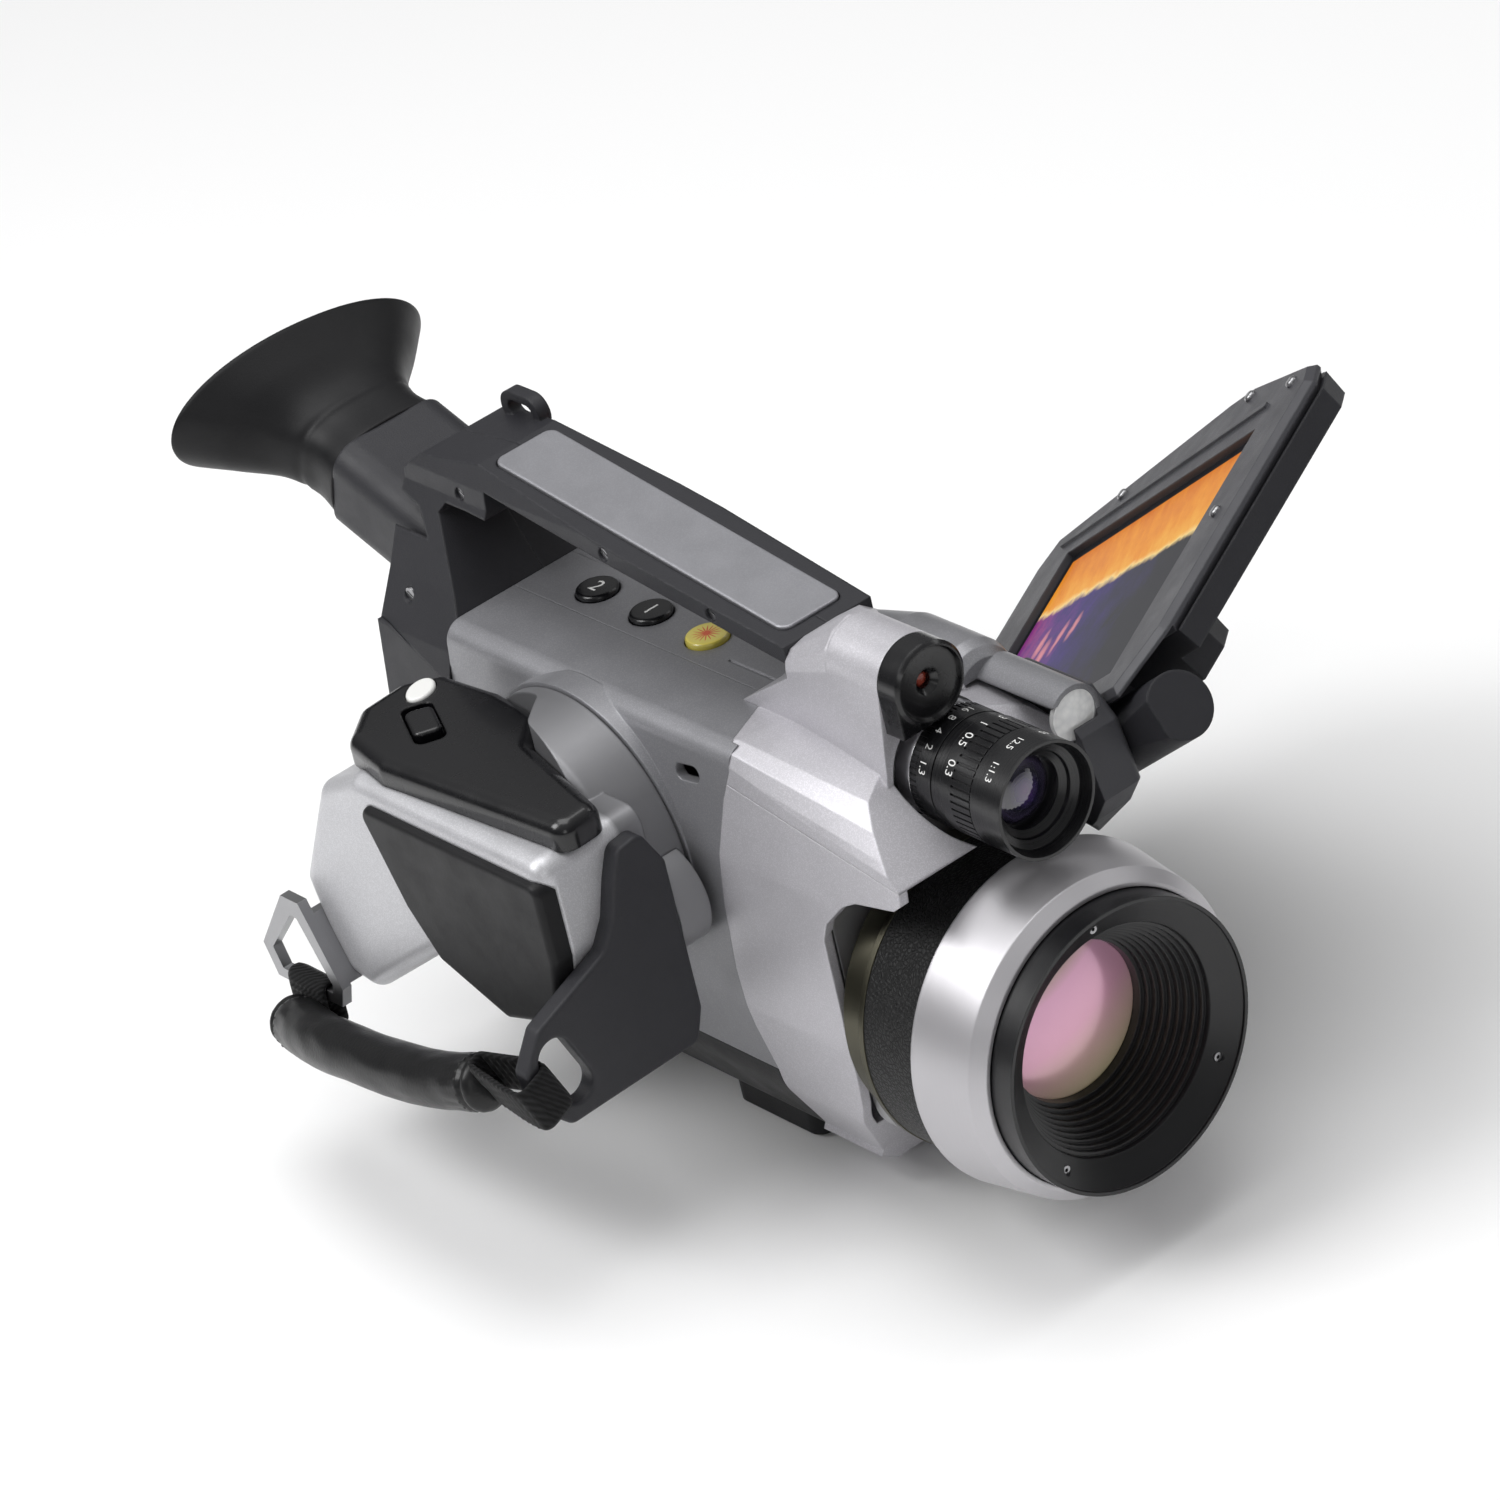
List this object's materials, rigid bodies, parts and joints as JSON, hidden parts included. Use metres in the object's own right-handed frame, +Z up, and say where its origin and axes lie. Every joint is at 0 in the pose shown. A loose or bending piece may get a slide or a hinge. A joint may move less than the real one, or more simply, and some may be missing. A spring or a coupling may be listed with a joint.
{
  "type": "thermal imaging camera",
  "caption": "Handheld thermal imaging camera with infrared and daylight lenses, top handle, turning side grip, fold-out display and eyepiece.",
  "frame": {"origin": "centre of the tripod socket's mouth, on the underside of the base", "axes": "+Z up, the lenses look along -Y, the operator's left (the display side) is +X"},
  "size_m": [0.237, 0.2887, 0.168],
  "materials": {
    "cowl_silver": "satin",
    "shell_grey": "satin",
    "dark_plastic": "fine texture",
    "plate_silver": "satin",
    "brass_insert": "machined",
    "screw_steel": "machined",
    "lens_black": "semi-gloss",
    "leather_black": "grained",
    "germanium": "coated",
    "ring_aluminium": "satin",
    "mount_metal": "machined",
    "sensor_metal": "bead blasted",
    "bright_ring": "polished",
    "coated_glass": "purple coating",
    "gloss_black": "gloss",
    "laser_red": "gloss",
    "lamp_white": "clear over a white reflector",
    "button_yellow": "gloss",
    "button_white": "gloss",
    "board_green": "solder mask",
    "battery_black": "matt",
    "rubber_black": "fine grain",
    "bezel_grey": "satin",
    "thermal_screen": "lit display",
    "strap_vinyl": "soft vinyl",
    "webbing": "ribbed weave"
  },
  "bodies": {
    "camera": {"base_block": "dark_plastic", "battery_pack": "battery_black", "belly_tub": "dark_plastic", "chassis": "sensor_metal", "front_cowl_lower": "cowl_silver", "front_cowl_upper": "cowl_silver", "handle_left_half": "dark_plastic", "handle_plate": "plate_silver", "handle_right_half": "dark_plastic", "handle_screws": "screw_steel", "ir_barrel": "leather_black", "ir_detector": "sensor_metal", "ir_mount": "mount_metal", "ir_silver_ring": "ring_aluminium", "lamp_lens": "lamp_white", "lamp_shoulder": "shell_grey", "laser_bezel": "gloss_black", "laser_diode": "laser_red", "lcd_bracket": "dark_plastic", "left_shell": "shell_grey", "main_board": "board_green", "port_sockets": "screw_steel", "rear_housing": "dark_plastic", "right_shell": "shell_grey", "top_deck": "shell_grey", "tripod_socket": "brass_insert", "tv_barrel": "lens_black", "tv_front_glass": "coated_glass", "tv_silver_ring": "bright_ring", "vf_hinge_pin": "screw_steel"},
    "ir_focus_group": {"ir_front_tube": "lens_black", "ir_set_screws": "screw_steel", "ir_front_element": "germanium", "ir_lens_cell": "lens_black"},
    "tv_focus": {"tv_focus_ring": "lens_black"},
    "tv_iris": {"tv_iris_ring": "lens_black"},
    "laser_key": {"laser_button": "button_yellow"},
    "key_one": {"button_one": "gloss_black"},
    "key_two": {"button_two": "gloss_black"},
    "battery_lid": {"battery_door": "shell_grey"},
    "port_lid": {"port_door": "rubber_black"},
    "viewfinder": {"vf_housing": "dark_plastic", "vf_lens": "coated_glass", "eyecup": "rubber_black"},
    "display_arm": {"lcd_arm": "dark_plastic"},
    "display_panel": {"lcd_bezel": "bezel_grey", "lcd_back": "dark_plastic", "lcd_screen": "thermal_screen", "lcd_screws": "screw_steel"},
    "grip": {"grip_body": "cowl_silver", "grip_top_pad": "gloss_black", "grip_palm_pad": "rubber_black", "grip_knob": "bezel_grey", "strap_plate": "dark_plastic", "d_ring": "screw_steel", "strap_pad": "strap_vinyl", "strap_webbing_front": "webbing", "strap_webbing_rear": "webbing"},
    "grip_key": {"grip_button": "button_white"},
    "zoom_key": {"zoom_lever": "gloss_black"}
  },
  "joints": [
    {"name": "ir_focus_slide", "type": "slide", "parent": "camera", "child": "ir_focus_group", "axis": [0, 1, 0], "range_m": [-0.003, 0.002]},
    {"name": "tv_focus_turn", "type": "hinge", "parent": "camera", "child": "tv_focus", "pos_m": [0, -0.089, 0.1165], "axis": [0, 1, 0], "range_deg": [-60, 60]},
    {"name": "tv_iris_turn", "type": "hinge", "parent": "camera", "child": "tv_iris", "pos_m": [0, -0.077, 0.1165], "axis": [0, 1, 0], "range_deg": [-40, 40]},
    {"name": "laser_key_press", "type": "slide", "parent": "camera", "child": "laser_key", "axis": [0, 0, -1], "range_m": [0, 0.0008], "stiffness_N_per_m": 1500},
    {"name": "key_one_press", "type": "slide", "parent": "camera", "child": "key_one", "axis": [0, 0, -1], "range_m": [0, 0.0008], "stiffness_N_per_m": 1500},
    {"name": "key_two_press", "type": "slide", "parent": "camera", "child": "key_two", "axis": [0, 0, -1], "range_m": [0, 0.0008], "stiffness_N_per_m": 1500},
    {"name": "battery_lid_hinge", "type": "hinge", "parent": "camera", "child": "battery_lid", "pos_m": [0.0336, 0.042, 0.0578], "axis": [0, 1, 0], "range_deg": [0, 50]},
    {"name": "port_lid_hinge", "type": "hinge", "parent": "camera", "child": "port_lid", "pos_m": [0.0336, 0.042, 0.0913], "axis": [0, 1, 0], "range_deg": [0, 95]},
    {"name": "viewfinder_tilt", "type": "hinge", "parent": "camera", "child": "viewfinder", "pos_m": [0, 0.098, 0.122], "axis": [1, 0, 0], "range_deg": [0, 15]},
    {"name": "display_pitch", "type": "hinge", "parent": "camera", "child": "display_arm", "pos_m": [0.047, -0.0762, 0.09972], "axis": [1, 0, 0], "range_deg": [-10, 35]},
    {"name": "display_fold", "type": "hinge", "parent": "display_arm", "child": "display_panel", "pos_m": [0.04931, -0.04924, 0.08084], "axis": [-0.0698, -0.8172, 0.5722], "range_deg": [-110, 0]},
    {"name": "grip_turn", "type": "hinge", "parent": "camera", "child": "grip", "pos_m": [-0.0343, 0.027, 0.086], "axis": [1, 0, 0], "range_deg": [-25, 60]},
    {"name": "grip_key_press", "type": "slide", "parent": "grip", "child": "grip_key", "axis": [0, 0, -1], "range_m": [0, 0.0008], "stiffness_N_per_m": 1500},
    {"name": "zoom_key_slide", "type": "slide", "parent": "grip", "child": "zoom_key", "axis": [0.4226, 0.9063, 0], "range_m": [-0.003, 0.003], "stiffness_N_per_m": 400}
  ]
}
